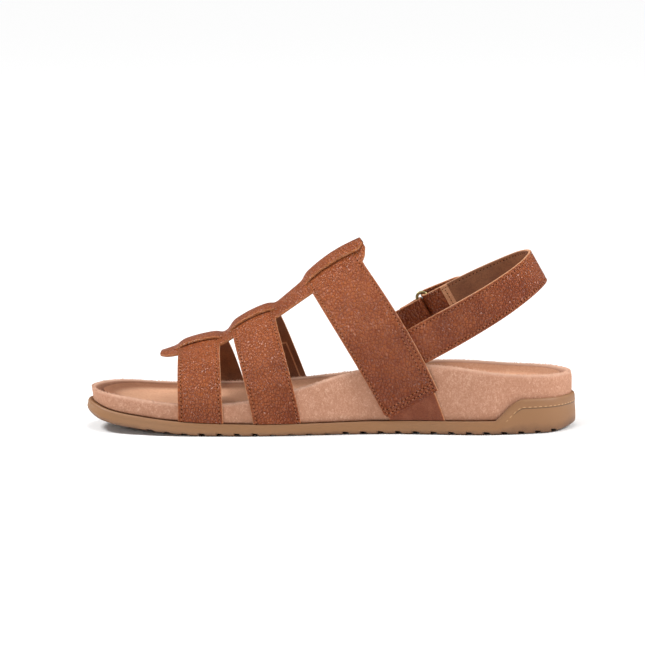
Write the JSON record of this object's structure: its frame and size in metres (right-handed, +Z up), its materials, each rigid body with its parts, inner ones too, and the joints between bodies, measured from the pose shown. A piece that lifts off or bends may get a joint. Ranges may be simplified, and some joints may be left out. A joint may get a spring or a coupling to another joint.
{
  "type": "strappy sandal",
  "caption": "Flat fisherman sandal for the right foot with leather straps woven through a slit centre strip, a heel sling on a ring, a suede footbed and a gum rubber outsole.",
  "frame": {"origin": "centre of the bounding box in plan, on the plane that the tread stands on", "axes": "+X from the toe to the heel along the length, -Y to the inner side of the foot, +Z up"},
  "size_m": [0.262, 0.091, 0.1009],
  "materials": {
    "gum_rubber": "matte moulded gum rubber",
    "suede": "napped suede",
    "insole_cloth": "soft microfibre",
    "leather": "pebbled, slightly glossy",
    "lined_leather": "pebbled outside, smooth lining inside",
    "antique_brass": "antique, satin",
    "touch_tape": "hook and loop tape"
  },
  "bodies": {
    "root": {"outsole": "gum_rubber", "midsole": "suede", "insole": "insole_cloth", "upper": "leather", "heel_strap": "lined_leather", "ring": "antique_brass", "ring_tab": "leather", "touch_fastener": "touch_tape"}
  },
  "joints": []
}
